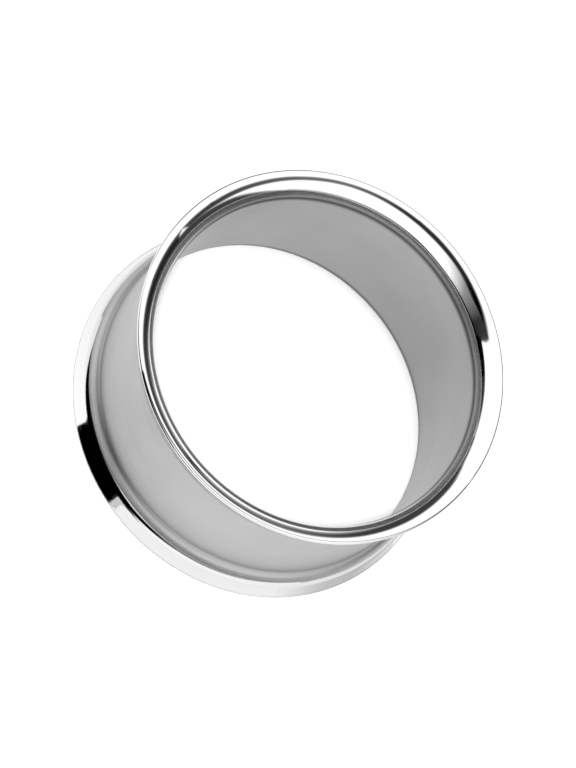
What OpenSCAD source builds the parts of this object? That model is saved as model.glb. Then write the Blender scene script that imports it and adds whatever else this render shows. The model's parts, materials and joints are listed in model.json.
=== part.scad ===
// Double-flared ear tunnel: a thin steel tube with a rounded, flared rim at each end.
// It stands on its lower rim, with the hole along Z. Lengths are in millimetres.

/* [Body] */
// Gauge: outside diameter of the body, the size of the piercing it fits
gauge_d = 22; // [10:0.5:50]
// Length from the face of one rim to the face of the other
total_l = 11.7; // [8:0.1:20]
// Thickness of the body's wall
wall_t = 0.45; // [0.35:0.05:0.7]

/* [Rims] */
// How far each rim stands out from the body, measured along a radius
rim_rise = 1.1; // [0.9:0.05:1.3]
// Radius of the rim's outer edge
edge_r = 0.2; // [0.12:0.02:0.3]
// Depth of the rounded mouth, from the rim's face to where the straight bore starts
mouth_l = 1.65; // [1.6:0.05:2.4]
// Length of the tapered band round the rim, from its face to the shoulder
band_l = 1.6; // [1.2:0.1:2.4]
// How far the shoulder stands out from the body, which is also the radius of its fillet
shoulder_rise = 0.55; // [0.3:0.05:0.7]

/* [Hidden] */
$fn = 180;

body_r = gauge_d / 2;
bore_r = body_r - wall_t;
rim_r = body_r + rim_rise;
shoulder_r = body_r + shoulder_rise;
neck_z = band_l + shoulder_rise;

// The section is drawn as [radius, height above the lower face]
function toward(a) = [cos(a), sin(a)];
function other_end(p) = [p.x, total_l - p.y];

// Rounded shapes run this far past what they only touch, so that the section has no hairline gap
overlap = 0.0002;

// Centre of the rounded edge, which touches the rim's face and its largest radius
edge_c = [rim_r - edge_r, edge_r];
edge_inner_r = edge_r - overlap;
shoulder_p = [shoulder_r, band_l];

// The band's straight side runs from the shoulder and just touches the rounded edge
to_shoulder = shoulder_p - edge_c;
band_a = atan2(to_shoulder.y, to_shoulder.x) - acos(edge_inner_r / norm(to_shoulder));
band_p = edge_c + edge_inner_r * toward(band_a);

// The mouth is one arc that leaves the bore without a corner and runs into the rounded edge
mouth_side_r = bore_r - overlap;
mouth_run = mouth_l - edge_c.y;
mouth_rise = edge_c.x - mouth_side_r;
mouth_r = (mouth_run ^ 2 + mouth_rise ^ 2 - edge_inner_r ^ 2) / (2 * (mouth_rise - edge_inner_r));
mouth_c = [mouth_side_r + mouth_r, mouth_l];
mouth_a = atan2(edge_c.y - mouth_c.y, edge_c.x - mouth_c.x);
mouth_p = edge_c + edge_inner_r * toward(mouth_a);

// Straight-sided section of one end, from the bore round the rim to the body
end_points = [
    [bore_r, mouth_l],
    mouth_p,
    edge_c,
    band_p,
    shoulder_p,
    [shoulder_r, neck_z],
    [body_r, neck_z]
];
last_point = len(end_points) - 1;

// What the mouth's arc adds to the straight-sided section: the disc, on the hole's side of the wall
module mouth_round() {
    intersection() {
        translate(mouth_c) circle(r = mouth_r);
        polygon([
            edge_c,
            edge_c + mouth_r * toward(mouth_a),
            [bore_r - mouth_r, -mouth_r],
            [bore_r - mouth_r, mouth_l + wall_t],
            [bore_r + wall_t / 2, mouth_l + wall_t]
        ]);
    }
}

module edge_round() {
    translate(edge_c) circle(r = edge_r);
}

// Places a child at the lower end and again, turned over, at the upper end
module both_ends() {
    children();
    translate([0, total_l]) mirror([0, 1]) children();
}

module wall_section() {
    difference() {
        union() {
            polygon(concat(
                end_points,
                [for (i = [last_point:-1:0]) other_end(end_points[i])]
            ));
            both_ends() {
                mouth_round();
                edge_round();
            }
        }
        both_ends() translate([shoulder_r, neck_z]) circle(r = shoulder_rise);
    }
}

module tunnel() {
    color("silver") rotate_extrude() wall_section();
}

tunnel();
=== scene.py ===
# Ear tunnel: a thin, double-flared ring of surgical steel, standing on its lower rim on a pale table.
import json
import math

import bpy
from mathutils import Matrix, Vector


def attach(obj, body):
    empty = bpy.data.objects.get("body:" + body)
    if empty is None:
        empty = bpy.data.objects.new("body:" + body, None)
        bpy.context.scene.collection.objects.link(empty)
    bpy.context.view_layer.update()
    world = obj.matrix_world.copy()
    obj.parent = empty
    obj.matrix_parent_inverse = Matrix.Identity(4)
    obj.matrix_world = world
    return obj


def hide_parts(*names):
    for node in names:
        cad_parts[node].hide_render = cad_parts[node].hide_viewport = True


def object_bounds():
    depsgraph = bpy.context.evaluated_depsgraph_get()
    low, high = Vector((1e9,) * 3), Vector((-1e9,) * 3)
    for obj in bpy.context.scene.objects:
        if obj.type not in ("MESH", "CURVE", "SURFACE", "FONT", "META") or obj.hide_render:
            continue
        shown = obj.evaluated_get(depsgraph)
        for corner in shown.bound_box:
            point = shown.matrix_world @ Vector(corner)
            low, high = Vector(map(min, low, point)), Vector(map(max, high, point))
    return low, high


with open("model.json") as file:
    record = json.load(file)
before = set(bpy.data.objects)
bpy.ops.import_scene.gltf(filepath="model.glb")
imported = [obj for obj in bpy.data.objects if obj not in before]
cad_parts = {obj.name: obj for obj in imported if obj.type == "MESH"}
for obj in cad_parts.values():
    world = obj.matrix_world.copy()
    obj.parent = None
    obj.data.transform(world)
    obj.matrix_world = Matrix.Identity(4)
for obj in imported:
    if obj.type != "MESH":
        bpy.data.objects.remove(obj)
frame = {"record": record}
cadLow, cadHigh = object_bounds()
scene = bpy.context.scene
mm = 0.001
print("stage: frame loaded")


# Small helpers. A Mix node's sockets share their names, so they are told apart by number
mixNumbers, mixColours, mixedColour = (2, 3), (6, 7), 2


def hexColour(code):  # an sRGB hex value, turned to linear
    channels = [int(code[i:i + 2], 16) / 255 for i in (0, 2, 4)]
    return tuple(c / 12.92 if c <= 0.04045 else ((c + 0.055) / 1.055) ** 2.4 for c in channels) + (1.0,)


def addNode(tree, kind, inputs=None, **settings):  # a node or a socket as an input's value is linked
    node = tree.nodes.new(kind)
    for key, value in settings.items():
        setattr(node, key, value)
    for key, value in (inputs or {}).items():
        socket = node.inputs[key]
        if isinstance(value, bpy.types.Node):
            value = value.outputs[0]
        if isinstance(value, bpy.types.NodeSocket):
            tree.links.new(value, socket)
        else:
            socket.default_value = value
    return node


def addObject(name, points, faces, material=None):
    mesh = bpy.data.meshes.new(name)
    mesh.from_pydata(points, [], faces)
    if material:
        mesh.materials.append(material)
    obj = bpy.data.objects.new(name, mesh)
    scene.collection.objects.link(obj)
    return obj


def direction(azimuth, elevation):  # degrees: azimuth 0 is +X and 90 is +Y
    a, e = math.radians(azimuth), math.radians(elevation)
    return Vector((math.cos(a) * math.cos(e), math.sin(a) * math.cos(e), math.sin(e)))


# Camera: it looks down into the hole, and is rolled so that the ring leans to the upper right
cameraView = {
    "elevation": 61.6,       # degrees above the table
    "distance": 618.4 * mm,  # from the middle of the ring
    "holeAxis": 39.8,        # where the hole's axis points in the picture, degrees above its lower edge
    "lens": 468.75,          # mm
    "sensor": 36,            # mm
    "clip": (10 * mm, 10),   # metres, the nearest and the farthest that it sees
}


def makeCamera(view, target):
    tilt, roll = math.radians(90 - view["elevation"]), math.radians(view["holeAxis"])
    right = Vector((math.sin(roll), math.cos(tilt) * math.cos(roll), math.sin(tilt) * math.cos(roll)))
    up = Vector((-math.cos(roll), math.cos(tilt) * math.sin(roll), math.sin(tilt) * math.sin(roll)))
    back = right.cross(up)
    turn = Matrix((right, up, back)).transposed().to_4x4()
    data = bpy.data.cameras.new("camera")
    data.lens, data.sensor_width = view["lens"], view["sensor"]
    data.clip_start, data.clip_end = view["clip"]
    camera = bpy.data.objects.new("camera", data)
    camera.matrix_world = Matrix.Translation(target + back * view["distance"]) @ turn
    scene.collection.objects.link(camera)
    scene.camera = camera


makeCamera(cameraView, (cadLow + cadHigh) / 2)
print("stage: camera placed")


# Light: the ring stands in a white light tent, and black cards draw the dark lines in its polished rims
tent = {
    "upper": 1.7,       # strength of the tent's walls
    "lower": 1.6,       # strength of the white sweep below them, which only the metal mirrors
    "wallsFrom": -0.5,  # from this height of the ray's direction upward it is the walls alone
    "sweepTo": -0.8,    # and up to this one the sweep alone
    "table": 1.0,       # what the camera sees past the table's edge
}
# It hangs behind the camera and lights all the table that shows. The metal doesn't mirror it. Metres and watts
softbox = {"distance": 1.0, "size": 0.08, "power": 6.0}
cardShape = {
    "distance": 500 * mm,
    "steps": 8,       # between two points of its path
    "halfway": 0.75,  # share of the cover halfway down a fade, which makes the fade even to the eye
}
# Each card is a bent strip: points of (azimuth, elevation, width in degrees, cover), and the degrees over
# which each of its sides fades out
blackCards = {
    "overhead": {
        "path": [
            (229, 52, 9, 1.0), (238, 63, 10, 1.0), (255, 68, 11, 0.98), (285, 69, 12, 0.98),
            (300, 68, 9, 0.98), (315, 67, 7, 0.97), (330, 65, 5, 0.92), (345, 61, 4, 0.87),
            (0, 53, 5, 0.88), (15, 44, 7, 0.92), (30, 34, 10, 0.96), (42, 30, 9, 0.96),
        ],
        "fade": (7, 7),
    },
    "back": {
        "path": [
            (44, 28, 9, 0.96), (60, 25, 9, 0.97), (75, 28, 9, 0.96), (90, 33, 8, 0.92),
            (105, 28, 8, 0.86), (120, 24, 9, 0.96), (135, 17, 18, 0.96), (150, 11, 20, 0.96),
            (165, 4, 6, 0.96), (180, 2, 3, 0.9),
        ],
        "fade": (16, 7),
    },
    "wedge": {
        "path": [
            (219, 56, 5, 0.97), (224, 47, 8, 0.97), (228, 32, 9, 0.97), (230, 15, 9, 0.98),
            (231, 0, 10, 0.98), (231, -10, 10, 0.98),
        ],
        "fade": (1, 26),
    },
    "tail": {
        "path": [
            (228, 13, 18, 1.0), (210, 8, 13, 1.0), (197, 6, 8, 0.85), (186, 4, 4, 0.65),
            (176, 3, 4, 0.6),
        ],
        "fade": (4, 6),
    },
    "side": {
        "path": [
            (352, -2, 3, 0.6), (2, 0, 4, 0.85), (12, 4, 10, 0.95), (22, 8, 18, 0.96),
            (35, 10, 20, 0.96), (50, 10, 18, 0.94), (63, 12, 12, 0.9), (76, 14, 8, 0.5),
        ],
        "fade": (4, 8),
    },
    "low": {
        "path": [
            (222, -23, 26, 1.0), (240, -22, 26, 1.0), (260, -21, 26, 1.0), (261, -24, 18, 0.15),
            (310, -27, 18, 0.15), (350, -33, 18, 0.1), (10, -38, 18, 0.4), (25, -42, 20, 0.45),
            (50, -47, 16, 0.2),
        ],
        "fade": (4, 4),
    },
    "horizon": {
        "path": [
            (352, 4, 3, 0.5), (320, 4, 4, 0.65), (296, 4, 6, 0.8), (284, 2, 9, 1.0),
            (270, -2, 14, 1.0), (259, -5, 22, 1.0), (240, -5, 24, 1.0), (222, -4, 22, 1.0),
            (210, -2, 18, 1.0), (202, 1, 13, 1.0), (194, 3, 9, 0.85), (186, 5, 4, 0.45),
            (180, 6, 2, 0.1),
        ],
        "fade": (3, 3),
    },
    "under": {
        "path": [(90, -70, 8, 0.5), (90, -54, 8, 0.5)],
        "fade": (5, 5),
    },
}
# What the metal mirrors of the table: the contact shadow round the lower rim, and softer shade inside and
# behind it
tableShade = {
    "turn": 5,  # degrees between its rows of points
    # each ring is a radius in mm, the cover on the camera's side and the cover away from it
    "rings": [
        (0.01, 0.1, 0.1), (4.0, 0.0, 0.3), (8.0, 0.0, 0.4), (10.0, 0.1, 0.4), (10.9, 0.4, 0.5),
        (11.2, 0.85, 0.85), (12.1, 0.85, 0.85), (12.4, 0.0, 0.4), (20.0, 0.0, 0.4), (26.0, 0.0, 0.0),
    ],
}


def makeTent(light):
    world = bpy.data.worlds.new("lightTent")
    world.use_nodes = True
    tree = world.node_tree
    tree.nodes.clear()
    place = addNode(tree, "ShaderNodeTexCoord")
    height = addNode(tree, "ShaderNodeSeparateXYZ", {0: place.outputs["Generated"]})
    rise = addNode(tree, "ShaderNodeMapRange", {
        "Value": height.outputs["Z"], "From Min": light["sweepTo"], "From Max": light["wallsFrom"],
        "To Min": light["lower"], "To Max": light["upper"]})
    rays = addNode(tree, "ShaderNodeLightPath")
    level = addNode(tree, "ShaderNodeMix", {
        "Factor": rays.outputs["Is Camera Ray"], mixNumbers[0]: rise, mixNumbers[1]: light["table"]})
    glow = addNode(tree, "ShaderNodeBackground", {"Color": hexColour("ffffff"), "Strength": level})
    addNode(tree, "ShaderNodeOutputWorld", {"Surface": glow})
    scene.world = world


def makeSoftbox(box, camera):
    data = bpy.data.lights.new("softbox", "AREA")
    data.size, data.energy = box["size"], box["power"]
    light = bpy.data.objects.new("softbox", data)
    back = camera.matrix_world.to_3x3() @ Vector((0, 0, 1))
    light.matrix_world = Matrix.Translation(back * box["distance"]) @ camera.matrix_world.to_3x3().to_4x4()
    light.visible_glossy = light.visible_camera = False
    scene.collection.objects.link(light)


# It covers as much as the "cover" attribute says, and is clear where that is 0. The table's shade uses it too
def blackFoam():
    material = bpy.data.materials.new("blackFoamCard")
    material.use_nodes = True
    tree = material.node_tree
    tree.nodes.clear()
    cover = addNode(tree, "ShaderNodeAttribute", attribute_name="cover")
    clear = addNode(tree, "ShaderNodeBsdfTransparent")
    black = addNode(tree, "ShaderNodeEmission", {"Strength": 0.0})
    mixed = addNode(tree, "ShaderNodeMixShader", {0: cover.outputs["Fac"], 1: clear, 2: black})
    addNode(tree, "ShaderNodeOutputMaterial", {"Surface": mixed})
    return material


def makeSheet(name, rows, closed, material):  # rows of (point, cover), joined into a sheet
    points = [point for row in rows for point, cover in row]
    covers = [cover for row in rows for point, cover in row]
    wide = len(rows[0])
    faces = []
    for i in range(len(rows) if closed else len(rows) - 1):
        here, there = i * wide, (i + 1) % len(rows) * wide
        faces += [(here + j, here + j + 1, there + j + 1, there + j) for j in range(wide - 1)]
    obj = addObject(name, points, faces, material)
    obj.data.attributes.new("cover", "FLOAT", "POINT").data.foreach_set("value", covers)
    # only the metal's reflections see it: it doesn't shade the table
    obj.visible_camera = obj.visible_diffuse = obj.visible_shadow = False
    obj.visible_transmission = obj.visible_volume_scatter = False


def makeCard(name, card, shape, material):
    path = [(direction(a, e), math.radians(w), c) for a, e, w, c in card["path"]]
    parts = [step / shape["steps"] for step in range(shape["steps"])]
    fine = [(d0.slerp(d1, part), w0 + (w1 - w0) * part, c0 + (c1 - c0) * part)
            for (d0, w0, c0), (d1, w1, c1) in zip(path, path[1:]) for part in parts]
    fine.append(path[-1])
    fadeA, fadeB = (math.radians(f) for f in card["fade"])
    topCentre = Vector((0, 0, cadHigh.z))
    rows = []
    for i, (d, width, cover) in enumerate(fine):
        ahead, behind = fine[min(i + 1, len(fine) - 1)][0], fine[max(i - 1, 0)][0]
        side = d.cross(ahead - behind).normalized()
        half, thin = width / 2, cover * shape["halfway"]
        profile = ((-half - fadeA, 0), (-half - fadeA / 2, thin), (-half, cover),
                   (half, cover), (half + fadeB / 2, thin), (half + fadeB, 0))
        rows.append([(topCentre + (d * math.cos(offset) + side * math.sin(offset)) * shape["distance"], depth)
                     for offset, depth in profile])
    makeSheet(name, rows, False, material)


def makeTableShade(shade, material):
    rows = []
    for azimuth in range(0, 360, shade["turn"]):
        side = direction(azimuth, 0)
        rows.append([(side * r * mm, near + (far - near) * (1 + side.y) / 2)
                     for r, near, far in shade["rings"]])
    makeSheet("tableShade", rows, True, material)


makeTent(tent)
makeSoftbox(softbox, scene.camera)
foam = blackFoam()
for cardName, card in blackCards.items():
    makeCard("card_" + cardName, card, cardShape, foam)
makeTableShade(tableShade, foam)
scene.view_settings.view_transform = "Standard"
print("stage: light set")


# Floor: a plain pale table, sized in metres
table = {"radius": 3.0, "colour": "f4f4f4", "roughness": 0.9}


def makeTable(sizes):
    r = sizes["radius"]
    material = bpy.data.materials.new("mattWhiteTable")
    material.use_nodes = True
    skin = material.node_tree.nodes["Principled BSDF"]
    skin.inputs["Base Color"].default_value = hexColour(sizes["colour"])
    skin.inputs["Roughness"].default_value = sizes["roughness"]
    skin.inputs["Specular IOR Level"].default_value = 0.0
    obj = addObject("table", [(-r, -r, 0), (r, -r, 0), (r, r, 0), (-r, r, 0)], [(0, 1, 2, 3)], material)
    obj.visible_glossy = False  # the metal mirrors the tent's sweep and the shade instead


makeTable(table)


# Ring
mounts = {m["name"]: m["dims"] for m in frame["record"]["mounts"]}
ring = {
    "bore": mounts["bore"]["r_mm"] * mm,        # inner radius of the tube
    "body": mounts["lobe_seat"]["r_mm"] * mm,   # outer radius of the tube
    "rim": cadHigh.x,                           # largest radius
    "length": cadHigh.z - cadLow.z,
    "boreLength": mounts["bore"]["length_mm"] * mm,       # straight part of the hole, between the mouths
    "bodyLength": mounts["lobe_seat"]["length_mm"] * mm,  # straight part outside, between the fillets
    "shoulder": 0.55 * mm,  # how far the shoulder stands out from the body, and the radius of its fillet
    "edge": 0.2 * mm,       # radius of the rim's outer edge
    "bend": 0.5 * mm,       # last part of the band, which polishing has rounded over toward the shoulder
    "bulge": 0.1 * mm,      # how far outside the shoulder the band's straight part points
    "lineAngle": 13,        # degrees up the mouth's curve from the bore, where a thin dark line of painted reflection runs round it
    "lineFade": 7,          # degrees over which that line fades upward
    "polishFade": 9,        # degrees over which satin turns to polish above the line
    "around": 340,          # steps round the ring
    "inside": 0.01 * mm,    # the turned skin stays this far inside the solid's box
}


# The lower half of the wall's section, from the middle of the bore round the rim to the middle of the body
def ringSpans(s):
    half = s["length"] / 2
    rim = s["rim"] - s["inside"]
    edgeCentre = Vector((rim - s["edge"], -half + s["edge"] + s["inside"]))
    shoulder = Vector((s["body"] + s["shoulder"], -s["bodyLength"] / 2 - s["shoulder"]))
    aim = shoulder + Vector((s["bulge"], 0))
    toAim = aim - edgeCentre
    bandAngle = math.atan2(toAim.y, toAim.x) - math.acos(s["edge"] / toAim.length)
    out = Vector((math.cos(bandAngle), math.sin(bandAngle)))
    bandStart = edgeCentre + s["edge"] * out
    # the bend leaves the band's straight part without a corner and ends at the shoulder
    bandEnd = aim - (aim - bandStart).normalized() * s["bend"]
    chord = shoulder - bandEnd
    bendRadius = -chord.length_squared / (2 * chord.dot(out))
    bendCentre = bandEnd - bendRadius * out
    bendAngle = math.atan2(shoulder.y - bendCentre.y, shoulder.x - bendCentre.x)
    boreEnd = -s["boreLength"] / 2
    run, rise = boreEnd - edgeCentre.y, edgeCentre.x - s["bore"]
    mouthRadius = (run ** 2 + rise ** 2 - s["edge"] ** 2) / (2 * (rise - s["edge"]))
    mouthCentre = Vector((s["bore"] + mouthRadius, boreEnd))
    toEdge = edgeCentre - mouthCentre
    mouthAngle = math.atan2(toEdge.y, toEdge.x)
    lineTop = -math.pi + math.radians(s["lineAngle"])
    satinEnd = lineTop + math.radians(s["lineFade"])
    polished = satinEnd + math.radians(s["polishFade"])
    filletCentre = Vector((shoulder.x, shoulder.y + s["shoulder"]))
    filletMiddle = -math.pi * 3 / 4
    # polish and paintedShade: how far each has come at the start and at the end of a span; the painted shade
    # darkens the colour at each mouth's foot and faintly at the shoulder, standing in for a dark reflection
    # and shade there
    return {
        "bore": {"start": (s["bore"], 0), "end": (s["bore"], boreEnd),
                 "steps": 8, "polish": (0, 0), "paintedShade": (0, 0)},
        "mouthFoot": {"centre": mouthCentre, "radius": mouthRadius, "from": -math.pi, "to": lineTop,
                      "steps": 10, "polish": (0, 0), "paintedShade": (0, 1)},
        "mouthLine": {"centre": mouthCentre, "radius": mouthRadius, "from": lineTop, "to": satinEnd,
                      "steps": 6, "polish": (0, 0), "paintedShade": (1, 0)},
        "mouthFade": {"centre": mouthCentre, "radius": mouthRadius, "from": satinEnd, "to": polished,
                      "steps": 8, "polish": (0, 1), "paintedShade": (0, 0)},
        "mouth": {"centre": mouthCentre, "radius": mouthRadius, "from": polished, "to": mouthAngle,
                  "steps": 32, "polish": (1, 1), "paintedShade": (0, 0)},
        "edge": {"centre": edgeCentre, "radius": s["edge"], "from": mouthAngle, "to": bandAngle,
                 "steps": 28, "polish": (1, 1), "paintedShade": (0, 0)},
        "band": {"start": bandStart, "end": bandEnd, "steps": 6, "polish": (1, 1), "paintedShade": (0, 0)},
        "bend": {"centre": bendCentre, "radius": bendRadius, "from": bandAngle, "to": bendAngle,
                 "steps": 12, "polish": (1, 1), "paintedShade": (0, 0.2)},
        "fillet": {"centre": filletCentre, "radius": s["shoulder"], "from": -math.pi / 2, "to": filletMiddle,
                   "steps": 10, "polish": (0, 0), "paintedShade": (0.1, 0)},
        "filletFoot": {"centre": filletCentre, "radius": s["shoulder"], "from": filletMiddle, "to": -math.pi,
                       "steps": 10, "polish": (0, 0), "paintedShade": (0, 0)},
        "body": {"start": (s["body"], -s["bodyLength"] / 2), "end": (s["body"], 0),
                 "steps": 8, "polish": (0, 0), "paintedShade": (0, 0)},
    }


def ringTree(spans):
    spanRanks = 1000.0  # more than the points of any span
    weld = 0.001 * mm
    sharpAngle = math.radians(30)
    barelyPolished = 0.02
    tree = bpy.data.node_groups.new("turnedRing", "GeometryNodeTree")
    tree.is_modifier = True
    sockets = {}

    def addInput(name, kind):
        sockets[name] = tree.interface.new_socket(name, in_out="INPUT", socket_type=kind)

    addInput("Path radius", "NodeSocketFloat")
    addInput("Half length", "NodeSocketFloat")
    addInput("Steps around", "NodeSocketInt")
    addInput("Satin", "NodeSocketMaterial")
    addInput("Polished", "NodeSocketMaterial")
    for name, span in spans.items():
        for key in ("start", "end", "centre"):
            if key in span:
                addInput(name + " " + key, "NodeSocketVector")
        if "radius" in span:
            for key in ("radius", "from", "sweep"):
                addInput(name + " " + key, "NodeSocketFloat")
    tree.interface.new_socket("Ring", in_out="OUTPUT", socket_type="NodeSocketGeometry")
    given = addNode(tree, "NodeGroupInput").outputs
    index = addNode(tree, "GeometryNodeInputIndex")

    # the section's points, ranked so that one curve can run through all of them
    places = []
    for order, (name, span) in enumerate(spans.items()):
        if "radius" in span:
            arc = addNode(tree, "GeometryNodeCurveArc", {
                "Resolution": span["steps"] + 1, "Radius": given[name + " radius"],
                "Start Angle": given[name + " from"], "Sweep Angle": given[name + " sweep"]}, mode="RADIUS")
            curve = addNode(tree, "GeometryNodeTransform",
                            {"Geometry": arc, "Translation": given[name + " centre"]})
        else:
            line = addNode(tree, "GeometryNodeCurvePrimitiveLine",
                           {"Start": given[name + " start"], "End": given[name + " end"]})
            curve = addNode(tree, "GeometryNodeResampleCurve", {"Curve": line, "Count": span["steps"] + 1})
        marked = addNode(tree, "GeometryNodeCurveToPoints", {"Curve": curve}, mode="EVALUATED")
        rank = addNode(tree, "ShaderNodeMath", {0: index, 1: order * spanRanks}, operation="ADD")
        marks = {"rank": rank}
        for mark in ("polish", "paintedShade"):
            first, last = span[mark]
            marks[mark] = addNode(tree, "ShaderNodeMapRange", {
                "Value": index, "From Max": float(span["steps"]),
                "To Min": float(first), "To Max": float(last)})
        for mark, value in marks.items():
            marked = addNode(tree, "GeometryNodeStoreNamedAttribute",
                             {"Geometry": marked, "Name": mark, "Value": value})
        places.append(marked)
    joined = addNode(tree, "GeometryNodeJoinGeometry")
    for marked in reversed(places):
        tree.links.new(marked.outputs[0], joined.inputs[0])
    welded = addNode(tree, "GeometryNodeMergeByDistance", {"Geometry": joined, "Distance": weld})
    rank = addNode(tree, "GeometryNodeInputNamedAttribute", {"Name": "rank"})
    section = addNode(tree, "GeometryNodePointsToCurves", {"Points": welded, "Weight": rank})
    length = addNode(tree, "GeometryNodeSplineParameter").outputs["Length"]
    section = addNode(tree, "GeometryNodeStoreNamedAttribute",
                      {"Geometry": section, "Name": "along", "Value": length})

    # the section is carried round a circle, and the upper half is the lower one turned over
    path = addNode(tree, "GeometryNodeCurvePrimitiveCircle",
                   {"Resolution": given["Steps around"], "Radius": given["Path radius"]})
    lower = addNode(tree, "GeometryNodeCurveToMesh", {"Curve": path, "Profile Curve": section})
    mirrored = addNode(tree, "GeometryNodeTransform", {"Geometry": lower, "Scale": (1, 1, -1)})
    upper = addNode(tree, "GeometryNodeFlipFaces", {"Mesh": mirrored})
    both = addNode(tree, "GeometryNodeJoinGeometry")
    for half in (lower, upper):
        tree.links.new(half.outputs[0], both.inputs[0])
    whole = addNode(tree, "GeometryNodeMergeByDistance", {"Geometry": both, "Distance": weld})
    lift = addNode(tree, "ShaderNodeCombineXYZ", {"Z": given["Half length"]})
    raised = addNode(tree, "GeometryNodeTransform", {"Geometry": whole, "Translation": lift})

    # smooth, apart from the sharp shoulder between bend and fillet
    angle = addNode(tree, "GeometryNodeInputMeshEdgeAngle")
    sharp = addNode(tree, "FunctionNodeCompare", {0: angle, 1: sharpAngle}, operation="GREATER_THAN")
    smooth = addNode(tree, "GeometryNodeSetShadeSmooth",
                     {"Geometry": raised, "Shade Smooth": True}, domain="FACE")
    creased = addNode(tree, "GeometryNodeSetShadeSmooth",
                      {"Geometry": smooth, "Selection": sharp, "Shade Smooth": False}, domain="EDGE")
    polish = addNode(tree, "GeometryNodeInputNamedAttribute", {"Name": "polish"})
    shiny = addNode(tree, "FunctionNodeCompare", {0: polish, 1: barelyPolished}, operation="GREATER_THAN")
    satin = addNode(tree, "GeometryNodeSetMaterial", {"Geometry": creased, "Material": given["Satin"]})
    dressed = addNode(tree, "GeometryNodeSetMaterial",
                      {"Geometry": satin, "Selection": shiny, "Material": given["Polished"]})
    real = addNode(tree, "GeometryNodeRealizeInstances", {"Geometry": dressed})
    addNode(tree, "NodeGroupOutput", {0: real})
    return tree, sockets


# Finishes: one steel, polished on the rims and mouths and left satin on the body and in the bore
steel = {
    "mirrorColour": "cecece",  # surgical steel, a neutral grey
    "satinColour": "a9a9a9",   # its fine scratches swallow part of the light
    "paintedShadeColour": "444444",  # painted shade: the thin dark line at each mouth's foot, standing in for a dark reflection, and faintly the shoulder's crease
    "grain": 0.96,             # share of the colour that is left in the turning lines' dark parts
    "linePitch": 0.2 * mm,     # turning lines; the real ones are 0.05 to 0.1 mm apart, too fine to show here
    "lineDrift": 60,           # changes of a line along its way, per metre across the ring
    "lineBump": {"Strength": 0.25, "Distance": 0.01 * mm},
    "satinRough": 0.45,
    "satinLines": 0.05,        # how far the turning lines change that, up and down
    "satinPatches": 0.03,      # how far uneven rubbing changes it, up and down
    "satinPatchSize": 3 * mm,
    "mirrorRough": 0.04,
    # the strongest turning lines are hairlines here, and add roughness
    "hairlines": {"From Min": 0.6, "From Max": 0.75, "To Max": 0.06},
    "worn": 0.03,              # how much rougher the most worn patches are
    "wornSize": 2 * mm,
    "waveSize": 4 * mm,
    "waveBump": {"Strength": 0.3, "Distance": 0.02 * mm},
}


def turningLines(tree, s):  # rings round the axis, as the lathe's tool and the polishing wheel leave them
    place = addNode(tree, "ShaderNodeTexCoord")
    drift = (s["lineDrift"], s["lineDrift"], 0)
    across = addNode(tree, "ShaderNodeMapping", {"Vector": place.outputs["Object"], "Scale": drift})
    along = addNode(tree, "ShaderNodeAttribute", attribute_name="along")
    step = addNode(tree, "ShaderNodeMath",
                   {0: along.outputs["Fac"], 1: 1 / s["linePitch"]}, operation="MULTIPLY")
    lift = addNode(tree, "ShaderNodeCombineXYZ", {"Z": step})
    spot = addNode(tree, "ShaderNodeVectorMath", {0: across, 1: lift}, operation="ADD")
    return addNode(tree, "ShaderNodeTexNoise", {"Vector": spot, "Scale": 1.0, "Detail": 3.0}).outputs[0]


def blotches(tree, size):  # slow, uneven change over a few millimetres
    place = addNode(tree, "ShaderNodeTexCoord")
    return addNode(tree, "ShaderNodeTexNoise",
                   {"Vector": place.outputs["Object"], "Scale": 1 / size, "Detail": 2.0}).outputs[0]


def spread(tree, value, low, high):  # noise lies mostly between 0.3 and 0.7
    return addNode(tree, "ShaderNodeMapRange", {
        "Value": value, "From Min": 0.3, "From Max": 0.7, "To Min": low, "To Max": high}).outputs[0]


def steelColour(tree, s, lines):
    # painted shade: the colour darkens at each mouth's foot and faintly at the shoulder, in place of a dark
    # reflection and the crease's shade
    paintedShade = addNode(tree, "ShaderNodeAttribute", attribute_name="paintedShade")
    polish = addNode(tree, "ShaderNodeAttribute", attribute_name="polish")
    first, second = mixColours
    finish = addNode(tree, "ShaderNodeMix", {
        0: polish.outputs["Fac"], first: hexColour(s["satinColour"]), second: hexColour(s["mirrorColour"])},
        data_type="RGBA").outputs[mixedColour]
    shade = addNode(tree, "ShaderNodeMix", {
        0: paintedShade.outputs["Fac"], first: finish, second: hexColour(s["paintedShadeColour"])},
        data_type="RGBA").outputs[mixedColour]
    dimmed = spread(tree, lines, s["grain"], 1.0)
    grain = addNode(tree, "ShaderNodeMix", {0: 1.0, first: shade, second: dimmed},
                    data_type="RGBA", blend_type="MULTIPLY")
    return grain.outputs[mixedColour]


def satinSteel(s):  # fine turning lines blur what it mirrors into an even, soft grey
    material = bpy.data.materials.new("satinSteel")
    material.use_nodes = True
    tree = material.node_tree
    skin = tree.nodes["Principled BSDF"]
    lines = turningLines(tree, s)
    patches = s["satinPatches"]
    uneven = spread(tree, blotches(tree, s["satinPatchSize"]), -patches, patches)
    lined = spread(tree, lines, s["satinRough"] - s["satinLines"], s["satinRough"] + s["satinLines"])
    rough = addNode(tree, "ShaderNodeMath", {0: uneven, 1: lined}, operation="ADD")
    bump = addNode(tree, "ShaderNodeBump", {"Height": lines, **s["lineBump"]})
    skin.inputs["Metallic"].default_value = 1.0
    tree.links.new(steelColour(tree, s, lines), skin.inputs["Base Color"])
    tree.links.new(rough.outputs[0], skin.inputs["Roughness"])
    tree.links.new(bump.outputs[0], skin.inputs["Normal"])
    return material


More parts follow.
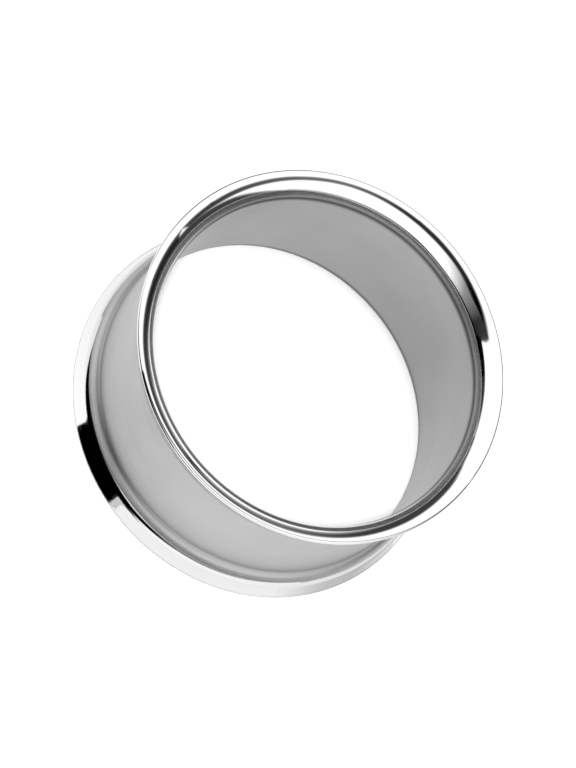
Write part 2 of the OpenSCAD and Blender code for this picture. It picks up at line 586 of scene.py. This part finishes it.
# It gives sharp black and white reflections, a little wavy, with the polishing wheel's faint hairlines
def mirrorPolishedSteel(s):
    material = bpy.data.materials.new("mirrorPolishedSteel")
    material.use_nodes = True
    tree = material.node_tree
    skin = tree.nodes["Principled BSDF"]
    lines = turningLines(tree, s)
    hairlines = addNode(tree, "ShaderNodeMapRange", {"Value": lines, **s["hairlines"]})
    worn = spread(tree, blotches(tree, s["wornSize"]), 0.0, s["worn"])
    marks = addNode(tree, "ShaderNodeMath", {0: hairlines, 1: worn}, operation="ADD")
    mirror = addNode(tree, "ShaderNodeMath", {0: marks, 1: s["mirrorRough"]}, operation="ADD")
    polish = addNode(tree, "ShaderNodeAttribute", attribute_name="polish")
    rough = addNode(tree, "ShaderNodeMapRange",
                    {"Value": polish.outputs["Fac"], "To Min": s["satinRough"], "To Max": mirror})
    waves = addNode(tree, "ShaderNodeBump", {"Height": blotches(tree, s["waveSize"]), **s["waveBump"]})
    skin.inputs["Metallic"].default_value = 1.0
    tree.links.new(steelColour(tree, s, lines), skin.inputs["Base Color"])
    tree.links.new(rough.outputs[0], skin.inputs["Roughness"])
    tree.links.new(waves.outputs[0], skin.inputs["Normal"])
    return material


def makeRing(sizes, finish):
    spans = ringSpans(sizes)
    tree, sockets = ringTree(spans)
    holder = addObject("ringHolder", [], [])
    modifier = holder.modifiers.new("turnedRing", "NODES")
    modifier.node_group = tree
    values = {
        "Path radius": sizes["body"], "Half length": sizes["length"] / 2, "Steps around": sizes["around"],
        "Satin": satinSteel(finish), "Polished": mirrorPolishedSteel(finish),
    }
    for name, span in spans.items():
        for key in ("start", "end", "centre"):
            if key in span:
                radius, height = span[key]
                values[name + " " + key] = (radius - sizes["body"], height, 0.0)
        if "radius" in span:
            values[name + " radius"] = span["radius"]
            values[name + " from"] = span["from"]
            values[name + " sweep"] = span["to"] - span["from"]
    for name, value in values.items():
        modifier[sockets[name].identifier] = value
    holder.update_tag()
    turned = holder.evaluated_get(bpy.context.evaluated_depsgraph_get())
    mesh = bpy.data.meshes.new_from_object(turned)
    bpy.data.objects.remove(holder)
    mesh.materials.pop(index=0)  # the empty slot that the holder began with
    piece = bpy.data.objects.new("turned_ring", mesh)
    scene.collection.objects.link(piece)
    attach(piece, "root")
    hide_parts("tunnel")
    return piece


tunnel = makeRing(ring, steel)
print("stage: ring turned,", len(tunnel.data.polygons), "faces,", len(tunnel.data.materials), "finishes")
